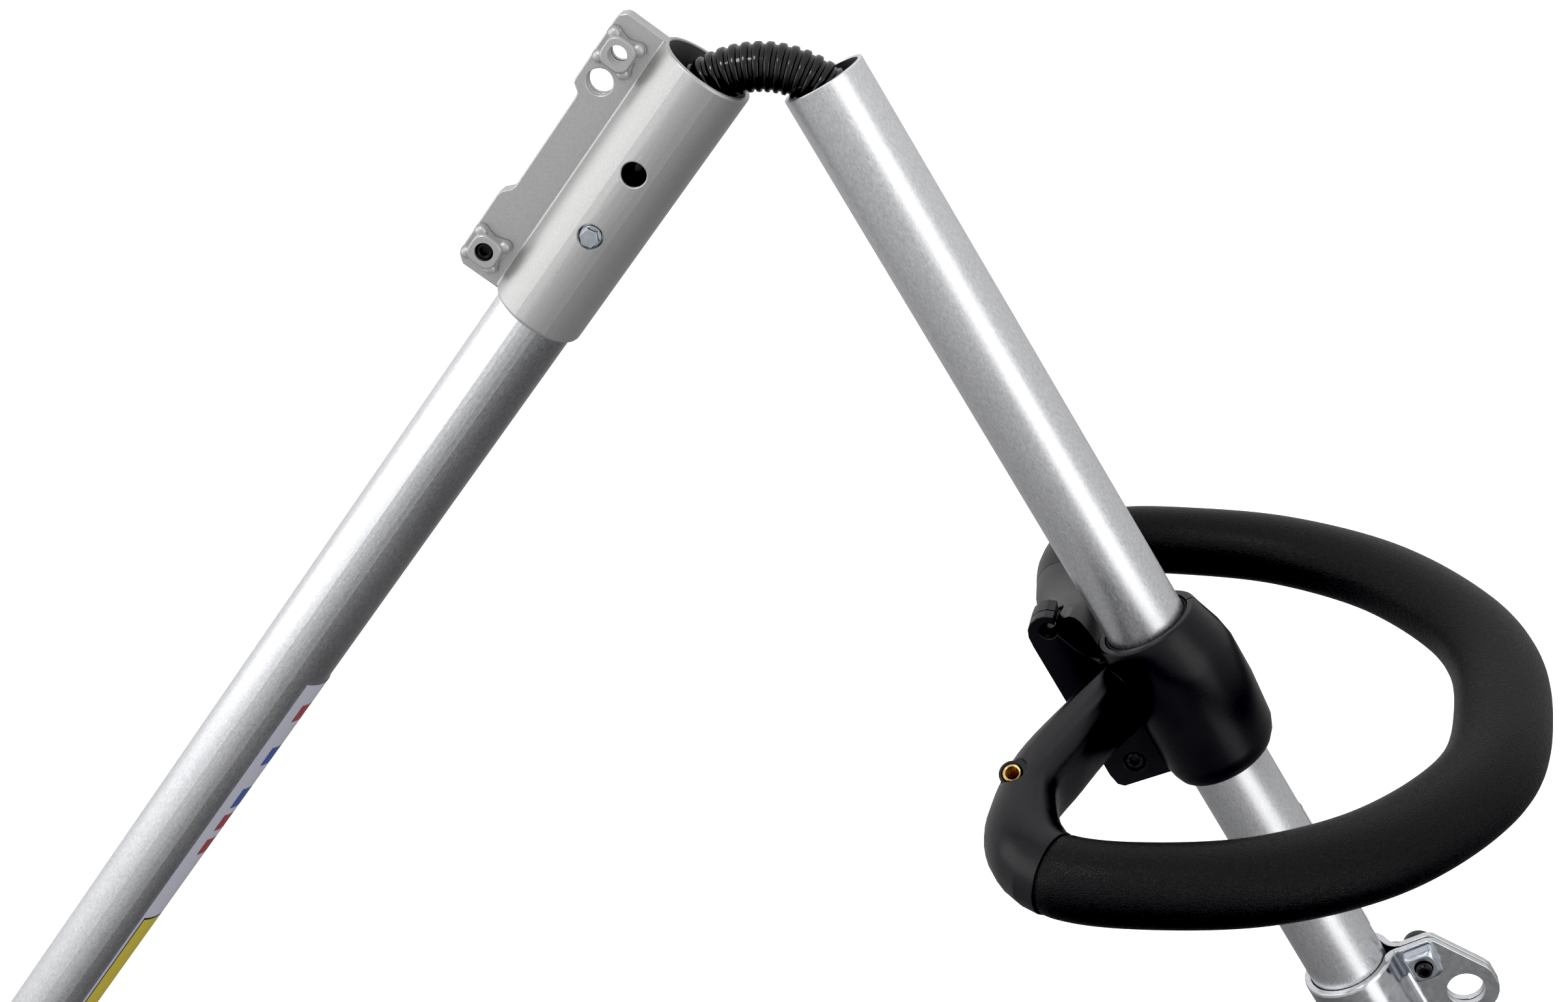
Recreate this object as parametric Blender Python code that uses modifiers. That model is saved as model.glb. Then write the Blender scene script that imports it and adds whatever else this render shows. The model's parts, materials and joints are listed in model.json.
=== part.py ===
"""Take-down trimmer shaft: two aluminium tubes, a split coupler sleeve, a conduit between the open
mouths, a loop handle clamped on the upper tube and a harness clamp. Dimensions are in millimetres
until the last step of each mesh. Every part is built in the frame of its own tube, where +Z runs up
the tube from the point where both tube axes would cross, and -Y is the side with the nuts. Each
moving group hangs from an empty on its joint's axis."""

import math

import bmesh
import bpy
from mathutils import Matrix, Vector

MM = 0.001
GAP = 0.3

# Driving dimensions, all in millimetres and degrees.
HALF_FOLD = 33.2  # each tube leans this far from vertical
TUBE_R, TUBE_WALL = 14.0, 1.5
TUBE_END = 640.0  # far end of both tubes, below the crossing of the axes
UPPER_MOUTH = 33.3
LOWER_TUBE_TOP = 84.0

SLEEVE_TOP, SLEEVE_LOW = 32.5, 134.5
SLEEVE_R, SLEEVE_BORE = 16.0, 14.3
EAR_T, SLIT = 2.7, 0.6
EAR_REACH = 32.2
BOSS_X, UPPER_BOSS, LOWER_BOSS = -25.2, 44.3, 124.9
PLAIN_HOLE, PLAIN_HOLE_R = 56.0, 4.3
LOCATING_HOLE, LOCATING_SCREW, LOCATING_R = 70.0, 95.5, 4.1
NUT_BORE, HUB_HALF, HUB_CORNER = 3.15, 5.2, 3.3
LOBE_REACH, LOBE_R, DOME_R, WEB_WAIST = 6.35, 2.4, 2.12, 5.45

CONDUIT_R, CONDUIT_VALLEY, CONDUIT_BORE = 7.9, 7.05, 6.1
CONDUIT_BEND, CONDUIT_CENTRE = 33.0, (0.9, -58.5)
RIB_PITCH, CONDUIT_END = 3.3, 150.0

LABEL_IN, LABEL_OUT = 14.15, 14.4
LOWER_LABEL = (302.0, 540.0, 40.0, 235.0)  # from, to, then the angles it covers
UPPER_LABEL = (338.0, 392.0, 92.0, 205.0)

HANDLE_TURN = 6.6  # the handle sits turned this far about the tube
LOOP_TILT = 28.2  # loop plane against the plane square to the tube
LOOP_AT = 279.2
GRIP_R, CORE_R = 13.25, 9.9
PALM_W, PALM_H = 16.0, 12.8  # half width and half height of the grip at the nose
BARREL_TOP, BARREL_LOW, BARREL_BORE = 247.6, 306.3, 15.5
LINER_IN, LINER_OUT = 14.3, 15.2
FLANGE_FACE, FLANGE_BACK = 0.0, 4.6

INSERT_AT, INSERT_LEAN = (-50.7, -68.7, 9.5), (-0.12, -0.67)  # forward, sideways, up
FLANGE_HOLE, FLANGE_SCREW = (-32.0, -237.5), (-29.8, -296.8)
SIDE_SCREW = (18.2, -286.0)
REAR_INSERT_END = 10.6  # it stays within the rear flange

BAND_TOP, BAND_LOW, BAND_IN, STRAP_T, EAR_TIP = 403.0, 437.0, 14.4, 2.5, 44.2
EYE = (33.0, 429.3, 6.6, 11.7)  # x, distance down the tube, hole radius, outer radius
EAR_BEND = 5.0  # bend radius where the strap leaves the band for its ears
HARNESS_SCREW = (24.6, 411.0)

# Centre line of the loop in its own plane: (forward, sideways), from the nose to each arm root.
NEAR_LOOP = (
    (103.2, 0.0), (97.8, -33.0), (81.8, -61.0), (58.0, -85.0), (26.0, -102.0), (-10.0, -108.8),
    (-32.4, -106.6), (-42.4, -95.2), (-45.2, -81.5), (-44.4, -65.0), (-37.6, -44.0),
    (-29.5, -22.0), (-21.0, -2.0),
)
FAR_LOOP = (
    (103.2, 0.0), (101.8, 33.0), (90.0, 61.8), (63.6, 90.0), (27.4, 106.2), (-10.0, 109.5),
    (-35.0, 106.5), (-47.0, 94.5), (-51.5, 80.0), (-50.5, 64.0),
)


def fresh_scene():
    for old in list(bpy.data.objects):
        bpy.data.objects.remove(old, do_unlink=True)
    made = []
    for name in ("take_down_shaft", "cutters"):
        group = bpy.data.collections.new(name)
        bpy.context.scene.collection.children.link(group)
        made.append(group)
    made[1].hide_render = True
    return made


PARTS, CUTTERS = fresh_scene()

# Colour, roughness and metallic value of each finish
FINISHES = {
    "aluminium": ((0.74, 0.75, 0.76), 0.32, 1.0),
    "cast_silver": ((0.55, 0.56, 0.56), 0.42, 0.85),
    "zinc": ((0.66, 0.68, 0.72), 0.25, 1.0),
    "black_oxide": ((0.02, 0.02, 0.022), 0.28, 0.4),
    "gloss_black": ((0.012, 0.012, 0.013), 0.15, 0.0),
    "grey_film": ((0.72, 0.73, 0.74), 0.45, 0.0),
    "silver_film": ((0.78, 0.78, 0.79), 0.40, 0.3),
    "satin_black": ((0.018, 0.018, 0.02), 0.40, 0.0),
    "grip_rubber": ((0.016, 0.016, 0.019), 0.55, 0.0),
    "liner_rubber": ((0.015, 0.015, 0.015), 0.75, 0.0),
    "brass": ((0.86, 0.66, 0.33), 0.22, 1.0),
    "bright_steel": ((0.70, 0.71, 0.72), 0.18, 1.0),
}

HALF = math.radians(HALF_FOLD)


def axis_empty(name, parent, location, turn=(0, 0, 0)):
    """The empty that a moving group hangs from, on its joint's axis. Location in millimetres."""
    empty = bpy.data.objects.new(name, None)
    empty.empty_display_size = 0.03
    PARTS.objects.link(empty)
    empty.parent = parent
    empty.location = Vector(location) * MM
    empty.rotation_euler = turn
    return empty


# A place is an empty, and how far up its tube the crossing of the axes lies from it.
LINK_AT = (-SLEEVE_TOP * math.sin(HALF), 0, -SLEEVE_TOP * math.cos(HALF))
MOUTH_AT = (UPPER_MOUTH * math.sin(HALF), 0, -UPPER_MOUTH * math.cos(HALF))
lower_shaft = axis_empty("lower_shaft", None, (0, 0, 0), (0, HALF, 0))
conduit_link = axis_empty("conduit_link", lower_shaft, (0, 0, TUBE_END - SLEEVE_TOP), (0, -HALF, 0))
upper_shaft = axis_empty("upper_shaft", conduit_link, Vector(MOUTH_AT) - Vector(LINK_AT), (0, -HALF, 0))
handle_slider = axis_empty("handle_slider", upper_shaft, (0, 0, UPPER_MOUTH - LOOP_AT))
handle = axis_empty("handle", handle_slider, (0, 0, 0), (0, 0, -math.radians(HANDLE_TURN)))
harness_clamp = axis_empty("harness_clamp", upper_shaft, (0, 0, UPPER_MOUTH - BAND_TOP))

LOWER = (lower_shaft, (0, 0, TUBE_END))
CROSSING = (conduit_link, [-v for v in LINK_AT])
UPPER = (upper_shaft, (0, 0, UPPER_MOUTH))
SLIDER = (handle_slider, (0, 0, LOOP_AT))
HANDLE = (handle, (0, 0, LOOP_AT))
HARNESS = (harness_clamp, (0, 0, BAND_TOP))


def hang(obj, place, finish):
    """Parents an object at its place, and gives it its material. A place may add a turn."""
    obj.parent = place[0]
    obj.location = Vector(place[1]) * MM
    if len(place) > 2:
        obj.rotation_euler = place[2]
    if finish is None:
        CUTTERS.objects.link(obj)
        obj.hide_render = True
        obj.display_type = "WIRE"
        return obj
    PARTS.objects.link(obj)
    colour, roughness, metallic = FINISHES[finish]
    material = bpy.data.materials.new(obj.name)
    material.use_nodes = True
    shader = material.node_tree.nodes["Principled BSDF"]
    shader.inputs["Base Color"].default_value = (*colour, 1.0)
    shader.inputs["Roughness"].default_value = roughness
    shader.inputs["Metallic"].default_value = metallic
    obj.data.materials.append(material)
    return obj


def make(name, bm, place, finish=None):
    """Turns a bmesh in millimetres into an object in metres. With no finish it is a cutter."""
    bmesh.ops.remove_doubles(bm, verts=bm.verts, dist=1e-3)
    bmesh.ops.triangulate(bm, faces=[f for f in bm.faces if len(f.verts) > 4])
    bmesh.ops.recalc_face_normals(bm, faces=bm.faces)
    bmesh.ops.scale(bm, vec=(MM, MM, MM), verts=bm.verts)
    mesh = bpy.data.meshes.new(name)
    bm.to_mesh(mesh)
    bm.free()
    mesh.shade_smooth()
    mesh.set_sharp_from_angle(angle=math.radians(32))
    return hang(bpy.data.objects.new(name, mesh), place, finish)


def screwed(name, profile, place, finish, steps=48):
    """Turned part: a closed (radius, z) profile at +X, and a Screw modifier about Z."""
    mesh = bpy.data.meshes.new(name)
    count = len(profile)
    mesh.from_pydata([(r * MM, 0, z * MM) for r, z in profile],
                     [(i, (i + 1) % count) for i in range(count)], [])
    obj = hang(bpy.data.objects.new(name, mesh), place, finish)
    turn = obj.modifiers.new("turned", "SCREW")
    turn.axis = "Z"
    turn.steps = turn.render_steps = steps
    turn.use_merge_vertices = True
    turn.merge_threshold = 1e-5
    turn.use_smooth_shade = True
    return obj


def loft(rings, closed=False):
    """Skins rings of equal length, for a body between unlike sections. Open lofts get flat caps."""
    bm = bmesh.new()
    rows = [[bm.verts.new(p) for p in ring] for ring in rings]
    count = len(rows[0])
    pairs = list(zip(rows, rows[1:])) + ([(rows[-1], rows[0])] if closed else [])
    for low, high in pairs:
        for i in range(count):
            j = (i + 1) % count
            bm.faces.new((low[i], low[j], high[j], high[i]))
    if not closed:
        bm.faces.new(rows[0][::-1])
        bm.faces.new(rows[-1])
    return bm


def arc(radius, start, end, steps, centre=(0.0, 0.0)):
    """Points on an arc, angles in degrees from +X towards +Y."""
    out = []
    for i in range(steps + 1):
        a = math.radians(start + (end - start) * i / steps)
        out.append((centre[0] + radius * math.cos(a), centre[1] + radius * math.sin(a)))
    return out


def circle(radius, steps=24, centre=(0.0, 0.0)):
    return arc(radius, 0, 360 - 360 / steps, steps - 1, centre)


def extruded(points, along):
    """A flat outline, filled and extruded."""
    bm = bmesh.new()
    face = bm.faces.new([bm.verts.new(p) for p in points])
    grown = bmesh.ops.extrude_face_region(bm, geom=[face])["geom"]
    moved = [v for v in grown if isinstance(v, bmesh.types.BMVert)]
    bmesh.ops.translate(bm, verts=moved, vec=along)
    return bm


def along_z(outline, low, high):
    return extruded([(x, y, low) for x, y in outline], (0, 0, high - low))


def along_y(outline, near, far):
    """Prism of an (x, z) outline between two depths."""
    return extruded([(x, near, z) for x, z in outline], (0, far - near, 0))


def spun(points, centre, axis, steps):
    """Solid turned from an open profile that starts and ends on its axis."""
    bm = bmesh.new()
    verts = [bm.verts.new(p) for p in points]
    edges = [bm.edges.new(pair) for pair in zip(verts, verts[1:])]
    bmesh.ops.spin(bm, geom=verts + edges, cent=centre, axis=axis, angle=2 * math.pi,
                   steps=steps, use_merge=True)
    return bm


def lathe_y(profile, x, z, steps=24):
    """Solid of (radius, y) stations about an axis parallel to Y through (x, z)."""
    line = [(0, profile[0][1]), *profile, (0, profile[-1][1])]
    return spun([(x + r, y, z) for r, y in line], (x, 0, z), (0, 1, 0), steps)


def lathe_z(profile, steps=48):
    """Solid of (radius, z) stations about Z."""
    line = [(0, profile[0][1]), *profile, (0, profile[-1][1])]
    return spun([(r, 0, z) for r, z in line], (0, 0, 0), (0, 0, 1), steps)


def cut(target, name, bm, place, join=False):
    """Adds an exact Boolean: takes the shape away, or joins it."""
    tool = make(name, bm, place)
    step = target.modifiers.new(name, "BOOLEAN")
    step.operation = "UNION" if join else "DIFFERENCE"
    step.solver = "EXACT"
    step.object = tool
    return tool


def hexagon(across_flats, turn=0.0, centre=(0.0, 0.0)):
    r = across_flats / math.sqrt(3)
    return [(centre[0] + r * math.cos(math.radians(turn + 60 * i)),
             centre[1] + r * math.sin(math.radians(turn + 60 * i))) for i in range(6)]


def rounded_box(half_x, half_z, corner, centre, steps=4):
    out = []
    for sx, sz, start in ((1, 1, 0), (-1, 1, 90), (-1, -1, 180), (1, -1, 270)):
        middle = (centre[0] + sx * (half_x - corner), centre[1] + sz * (half_z - corner))
        out += arc(corner, start, start + 90, steps, middle)
    return out


# Tubes

def tube(name, top, place):
    inner, outer, c = TUBE_R - TUBE_WALL, TUBE_R, 0.25
    profile = [(inner, -top - c), (inner + c, -top), (outer - c, -top), (outer, -top - c),
               (outer, -TUBE_END + c), (outer - c, -TUBE_END), (inner + c, -TUBE_END),
               (inner, -TUBE_END + c)]
    return screwed(name, profile, place, "aluminium")


def label(name, extent, place, finish):
    """Thin sticker that follows the tube. Its angles start at -Y and grow to +X."""
    top, low, start, end = extent
    steps = round((end - start) / 7.5)
    inner = arc(LABEL_IN, start - 90, end - 90, steps)
    outer = arc(LABEL_OUT, end - 90, start - 90, steps)
    return make(name, along_z(inner + outer, -low, -top), place, finish)


lower_tube = tube("lower_tube", LOWER_TUBE_TOP, LOWER)
cut(lower_tube, "cut_locating_thread",
    lathe_y([(2.35, -18.0), (2.35, -9.0)], 0, -LOCATING_SCREW), LOWER)
upper_tube = tube("upper_tube", UPPER_MOUTH, UPPER)
label("lower_label", LOWER_LABEL, LOWER, "grey_film")
label("upper_label", UPPER_LABEL, UPPER, "silver_film")


# Coupler sleeve: a split ring with two flat ears, open along the slit between them

def split_section(bore, outer, half_gap, half_ear, reach, side, steps=40):
    """Section of a ring split on one side (side -1 or +1 of X) with an ear on each lip."""
    a_in = math.degrees(math.asin(half_gap / bore))
    a_out = math.degrees(math.asin(half_ear / outer))
    inside = arc(bore, -(180 - a_in), 180 - a_in, steps)
    outside = arc(outer, 180 - a_out, -(180 - a_out), steps)
    rear = [(-reach, half_gap), (-reach, half_ear)]
    front = [(-reach, -half_ear), (-reach, -half_gap)]
    section = inside + rear + outside + front
    return [(x * -side, y) for x, y in section]


def sleeve_rings():
    half_ear = SLIT / 2 + EAR_T
    stations = ((SLEEVE_LOW, 1.0), (SLEEVE_LOW - 0.5, 0.35), (SLEEVE_LOW - 1.4, 0.0),
                (SLEEVE_TOP + 0.5, 0.0), (SLEEVE_TOP, 0.45))
    rings = []
    for down, inset in stations:
        section = split_section(SLEEVE_BORE, SLEEVE_R - inset, SLIT / 2, half_ear, EAR_REACH, -1)
        rings.append([(x, y, -down) for x, y in section])
    return rings


def ear_trim():
    """Everything left of the ear's outline, to be cut away from both ears."""
    edge = [(-28.0, SLEEVE_TOP - 5), (-28.0, SLEEVE_TOP - 0.2),
            (-30.2, SLEEVE_TOP + 0.3), (-31.7, SLEEVE_TOP + 1.8), (-EAR_REACH, SLEEVE_TOP + 4),
            (-EAR_REACH, 60.0), (-31.6, 61.4), (-29.2, 63.2), (-28.9, 65.0), (-28.9, 101.0),
            (-29.3, 102.8), (-31.6, 105.4), (-EAR_REACH, 107.4), (-EAR_REACH, 129.5),
            (-31.6, 132.2), (-29.8, 133.9), (-28.2, SLEEVE_LOW + 0.4),
            (-28.2, SLEEVE_LOW + 5), (-45.0, SLEEVE_LOW + 5), (-45.0, SLEEVE_TOP - 5)]
    return [(x, -down) for x, down in edge]


sleeve = make("coupler_sleeve", loft(sleeve_rings()), LOWER, "cast_silver")
cut(sleeve, "cut_ear_outline", along_y(ear_trim(), -12, 12), LOWER)
for tag, down in (("upper", UPPER_BOSS), ("lower", LOWER_BOSS)):
    cut(sleeve, f"cut_screw_way_{tag}", lathe_y([(3.3, -9), (3.3, 9)], BOSS_X, -down), LOWER)
cut(sleeve, "cut_plain_hole",
    lathe_y([(PLAIN_HOLE_R, -9), (PLAIN_HOLE_R, 9)], BOSS_X, -PLAIN_HOLE), LOWER)
for tag, down in (("open", LOCATING_HOLE), ("screw", LOCATING_SCREW)):
    cut(sleeve, f"cut_locating_{tag}",
        lathe_y([(LOCATING_R, -20), (LOCATING_R, -9)], 0, -down), LOWER)


def web_outline(centre_x, centre_z):
    """Outline of the nut's web: four round lobes on the diagonals, hollow between them."""
    out = []
    for i in range(4):
        a = 45 + 90 * i
        lobe = (centre_x + LOBE_REACH * math.cos(math.radians(a)),
                centre_z + LOBE_REACH * math.sin(math.radians(a)))
        out += arc(LOBE_R, a - 90, a + 90, 8, lobe)
        hollow = math.radians(a + 45)
        out.append((centre_x + WEB_WAIST * math.cos(hollow), centre_z + WEB_WAIST * math.sin(hollow)))
    return out


def nut_plate(name, down):
    """Cast nut: a low web with four domed lobes at the corners of a taller hub with a screw way."""
    back = -SLIT / 2 - EAR_T - GAP
    nut = make(name, along_y(web_outline(BOSS_X, -down), back, back - 1.3), LOWER, "cast_silver")
    hub = [[(x, y, z) for x, z in rounded_box(half, half, HUB_CORNER, (BOSS_X, -down), 5)]
           for half, y in ((HUB_HALF, back - 0.55), (HUB_HALF, back - 3.3), (HUB_HALF - 0.5, back - 3.8))]
    cut(nut, f"{name}_hub", loft(hub), LOWER, join=True)
    dome = [(DOME_R, back - 0.4), (DOME_R, back - 1.8), (DOME_R * 0.82, back - 2.5),
            (DOME_R * 0.42, back - 2.85)]
    for i in range(4):
        a = math.radians(45 + 90 * i)
        cut(nut, f"{name}_lobe_{i}", lathe_y(dome, BOSS_X + LOBE_REACH * math.cos(a),
            -down + LOBE_REACH * math.sin(a), 18), LOWER, join=True)
    cut(nut, f"cut_{name}_thread",
        lathe_y([(NUT_BORE, 0), (NUT_BORE, -9)], BOSS_X, -down), LOWER)
    return nut


nut_plate("upper_nut", UPPER_BOSS)
nut_plate("lower_nut", LOWER_BOSS)


def socket_screw(name, place, x, z, tip, seat, shank, head_r, head_h, way=1):
    """Round-head socket screw along Y. The head sits at seat and points to way (+1 is away)."""
    top = seat + way * head_h
    stations = [(shank - 0.4, tip), (shank, tip + way * 0.5), (shank, seat), (head_r, seat),
                (head_r, top - way * 0.7), (head_r - 0.7, top)]
    screw = make(name, lathe_y(stations, x, z), place, "black_oxide")
    key = hexagon(head_r * 0.95, 0, (x, z))
    cut(screw, f"cut_{name}_key", along_y(key, top - way * head_h * 0.55, top + way * 2), place)
    return screw


clamp_screw = socket_screw("clamp_screw", LOWER, BOSS_X, -LOWER_BOSS, tip=-6.3,
                           seat=SLIT / 2 + EAR_T + GAP, shank=2.85, head_r=5.0, head_h=6.0)
cut(clamp_screw, "cut_clamp_screw_tip",
    along_y(hexagon(3.0, 0, (BOSS_X, -LOWER_BOSS)), -9, -4.8), LOWER)

hex_head = make("locating_screw",
                lathe_y([(1.9, -10.6), (2.05, -11.0), (2.05, -14.3), (3.55, -14.3), (3.55, -15.1)],
                        0, -LOCATING_SCREW), LOWER, "zinc")
cut(hex_head, "locating_screw_hex",
    along_y(hexagon(5.6, 15, (0, -LOCATING_SCREW)), -14.8, -17.7), LOWER, join=True)


# Conduit: ribbed where it bends between the mouths, plain inside the tubes

def conduit_path():
    """Stations from the lower tube to the upper one: centre x, z, tilt of the ring, outer radius."""
    cx, cz = CONDUIT_CENTRE
    bend = math.radians(90 - HALF_FOLD)
    total = 2 * bend * CONDUIT_BEND
    ribs = int(total / RIB_PITCH)
    start = (total - ribs * RIB_PITCH) / 2
    marks = []
    for k in range(ribs):
        s = start + k * RIB_PITCH
        marks += [(s + 0.25, CONDUIT_VALLEY), (s + 1.05, CONDUIT_VALLEY),
                  (s + 1.3, CONDUIT_R), (s + 3.05, CONDUIT_R)]
    stations = []
    for s, radius in marks:
        a = -bend + s / CONDUIT_BEND
        stations.append((cx + CONDUIT_BEND * math.sin(a), cz + CONDUIT_BEND * math.cos(a), a, radius))
    plain = (CONDUIT_R + CONDUIT_VALLEY) / 2
    ends = []
    for a in (-bend, bend):
        way = math.copysign(1, a)
        x, z = cx + CONDUIT_BEND * math.sin(a), cz + CONDUIT_BEND * math.cos(a)
        run = CONDUIT_END - math.hypot(x, z)
        ends.append([(x + way * run * math.sin(HALF), z - run * math.cos(HALF), a, plain),
                     (x, z, a, plain)])
    return ends[0] + stations + ends[1][::-1]


def conduit_ring(station, radius, steps=18):
    x, z, tilt, _ = station
    out = []
    for px, py in circle(radius, steps):
        out.append((x + px * math.sin(tilt), py, z + px * math.cos(tilt)))
    return out


path = conduit_path()
inside = path[:1] + path[1:-1:4] + path[-2:]
rings = [conduit_ring(s, s[3]) for s in path] + [conduit_ring(s, CONDUIT_BORE) for s in inside[::-1]]
make("conduit", loft(rings, closed=True), CROSSING, "gloss_black")


# Loop handle. Its plane leans against the tube, so points are given as forward, sideways, up.

TILT = math.radians(LOOP_TILT)
FORWARD = Vector((math.cos(TILT), 0, -math.sin(TILT)))
SIDE = Vector((0, 1, 0))
UPWARD = Vector((math.sin(TILT), 0, math.cos(TILT)))
LOOP_ORIGIN = Vector((0, 0, -LOOP_AT))


def in_loop(forward, side, up=0.0):
    return LOOP_ORIGIN + FORWARD * forward + SIDE * side + UPWARD * up


def smooth_line(points, per_span):
    """Catmull-Rom line through the points."""
    ends = [2 * points[0] - points[1], *points, 2 * points[-1] - points[-2]]
    out = []
    for i in range(1, len(points)):
        a, b, c, d = ends[i - 1:i + 3]
        for k in range(per_span):
            t = k / per_span
            out.append(0.5 * (2 * b + (c - a) * t + (2 * a - 5 * b + 4 * c - d) * t * t
                              + (3 * b - a - 3 * c + d) * t ** 3))
    out.append(points[-1])
    return out


# From the near arm root, round the nose, to the far arm
LOOP_LINE = smooth_line([Vector(p) for p in NEAR_LOOP[:0:-1] + FAR_LOOP], 4)


def loop_frame(i):
    """Centre, tangent and in-plane normal of the loop line at one of its points."""
    a, b = LOOP_LINE[max(i - 1, 0)], LOOP_LINE[min(i + 1, len(LOOP_LINE) - 1)]
    t = (b - a).normalized()
    return LOOP_LINE[i], Vector((t.y, -t.x))


def loop_ring(i, half_w, half_h, power, steps=24, shift=0.0):
    """Superellipse section of the loop: power 2 is round, more is boxier."""
    centre, normal = loop_frame(i)
    ring = []
    for k in range(steps):
        a = 2 * math.pi * k / steps
        c, s = math.cos(a), math.sin(a)
        w = half_w * math.copysign(abs(c) ** (2 / power), c)
        h = half_h * math.copysign(abs(s) ** (2 / power), s)
        p = centre + normal * w
        ring.append(in_loop(p.x, p.y, h + shift))
    return ring


def index_near(side, forward, sign):
    """The loop point nearest to a place on one side."""
    place = Vector((forward, side * sign))
    return min(range(len(LOOP_LINE)), key=lambda i: (LOOP_LINE[i] - place).length)


GRIP_FROM = index_near(108.0, -34.0, -1)
GRIP_TO = index_near(108.0, -34.0, 1)
ARM_END = index_near(66.0, -51.0, 1)


def eased(t):
    t = min(max(t, 0), 1)
    return t * t * (3 - 2 * t)


def arm_size(i, root, flare):
    """Half width, half height and power of the arm between its root and its flare to the grip."""
    t = eased((i - root) / (flare - root))
    half_width = 7.6 + 1.8 * eased(t / 0.35) + (GRIP_R - 9.4) * eased((t - 0.5) / 0.5)
    return half_width, 13.6 - (13.6 - GRIP_R) * t, 3.4 - 1.4 * t


def handle_core():
    """Near arm, the core under the grip and the far end up to the rear clamp."""
    rings = []
    for i in range(0, GRIP_FROM + 1):
        w, h, power = arm_size(i, 0, GRIP_FROM)
        rings.append(loop_ring(i, w, h, power))
    for i in range(GRIP_FROM, GRIP_TO + 1, 2):
        rings.append(loop_ring(i, CORE_R, CORE_R, 2))
    if (GRIP_TO - GRIP_FROM) % 2:
        rings.append(loop_ring(GRIP_TO, CORE_R, CORE_R, 2))
    for i in range(GRIP_TO, ARM_END + 1):
        t = eased((i - GRIP_TO) / (ARM_END - GRIP_TO))
        r = GRIP_R - (GRIP_R - 10.5) * t
        rings.append(loop_ring(i, r, r + 0.8 * t, 2))
    return loft(rings)


def barrel(steps=40):
    """Clamp barrel round the tube, with a bulge on its right side for the side screws."""
    stations = ((BARREL_TOP, 0.0, 17.7), (BARREL_TOP + 0.7, 0.0, 18.4), (BARREL_TOP + 4, 0.3, 19.0),
                (260.0, 1.9, 20.2), (266.0, 2.6, 20.6), (282.0, 2.2, 20.8), (298.5, 1.3, 20.2),
                (302.5, 0.9, 19.1), (305.3, 0.4, 17.6), (BARREL_LOW, 0.1, 16.4))
    return loft([[(x, y, -down) for x, y in circle(r, steps, (shift, 0))]
                 for down, shift, r in stations[::-1]])


def flange_outline():
    """Clamp flange left of the barrel, as (x, z)."""
    edge = [(-12.0, 256.0), (-22.0, 256.0), (-27.0, 247.5), (-30.0, 239.0)]
    edge += [(-32.8 + 6.9 * math.cos(math.radians(a)), 238.2 - 6.9 * math.sin(math.radians(a)))
             for a in (45, 70, 95, 120, 145, 170)]
    edge += [(-39.9, 241.0), (-40.6, 298.5), (-39.8, 302.8), (-38.0, 304.4), (-12.0, 305.6)]
    return [(x, -down) for x, down in edge]


def half_space(front):
    """A box that takes away the far half of the handle, or the near half."""
    near, far = (FLANGE_BACK, 60.0) if front else (-60.0, FLANGE_BACK + GAP)
    return along_y([(-24.0, -200.0), (60.0, -200.0), (60.0, -350.0), (-24.0, -350.0)], near, far)


def bore():
    return lathe_z([(BARREL_BORE, -200.0), (BARREL_BORE, -350.0)])


handle_body = make("handle_body", handle_core(), HANDLE, "satin_black")
cut(handle_body, "front_barrel", barrel(), HANDLE, join=True)
cut(handle_body, "cut_front_barrel", half_space(front=True), HANDLE)
cut(handle_body, "front_flange", along_y(flange_outline(), FLANGE_FACE, FLANGE_BACK), HANDLE, join=True)
cut(handle_body, "cut_front_bore", bore(), HANDLE)


def far_arm():
    """Rear clamp body: from the flange behind the parting face back to the loop's far end."""
    tip, outward = loop_frame(ARM_END)
    along = Vector((-outward.y, outward.x))
    tip = tip + along * (GAP + 0.1)
    steps, rings = 24, []
    for row in range(9):
        t = row / 8
        s = eased(t)
        y = FLANGE_BACK + GAP + (tip.y - FLANGE_BACK - GAP) * t
        start = Vector((-29.5, 0, -269.0))
        end = in_loop(tip.x, tip.y)
        mid = start.lerp(end, s)
        w = 8.6 + (10.5 - 8.6) * s
        h = 32.0 + (11.3 - 32.0) * s ** 0.8
        power = 5.0 - 3.0 * s
        normal = Vector((1, 0, 0)).lerp(FORWARD * outward.x * -1 + SIDE * outward.y * -1, s)
        normal.normalize()
        upward = Vector((0, 0, 1)).lerp(UPWARD, s).normalized()
        ring = []
        for k in range(steps):
            a = 2 * math.pi * k / steps
            c, si = math.cos(a), math.sin(a)
            dw = w * math.copysign(abs(c) ** (2 / power), c)
            dh = h * math.copysign(abs(si) ** (2 / power), si)
            p = Vector((mid.x, y, mid.z)) + normal * dw + upward * dh
            ring.append(p)
        rings.append(ring)
    return loft(rings)


rear_clamp = make("handle_rear_clamp", barrel(), HANDLE, "satin_black")
cut(rear_clamp, "cut_rear_barrel", half_space(front=False), HANDLE)
cut(rear_clamp, "rear_flange",
    along_y(flange_outline(), FLANGE_BACK + GAP, FLANGE_BACK + 7.0), HANDLE, join=True)
cut(rear_clamp, "rear_arm", far_arm(), HANDLE, join=True)
cut(rear_clamp, "cut_rear_bore", bore(), HANDLE)

liner = [(LINER_IN, -BARREL_TOP - 0.5), (LINER_OUT, -BARREL_TOP - 0.5),
         (LINER_OUT, -BARREL_LOW + 0.5), (LINER_IN, -BARREL_LOW + 0.5)]
screwed("handle_liner", liner, SLIDER, "liner_rubber")


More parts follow.
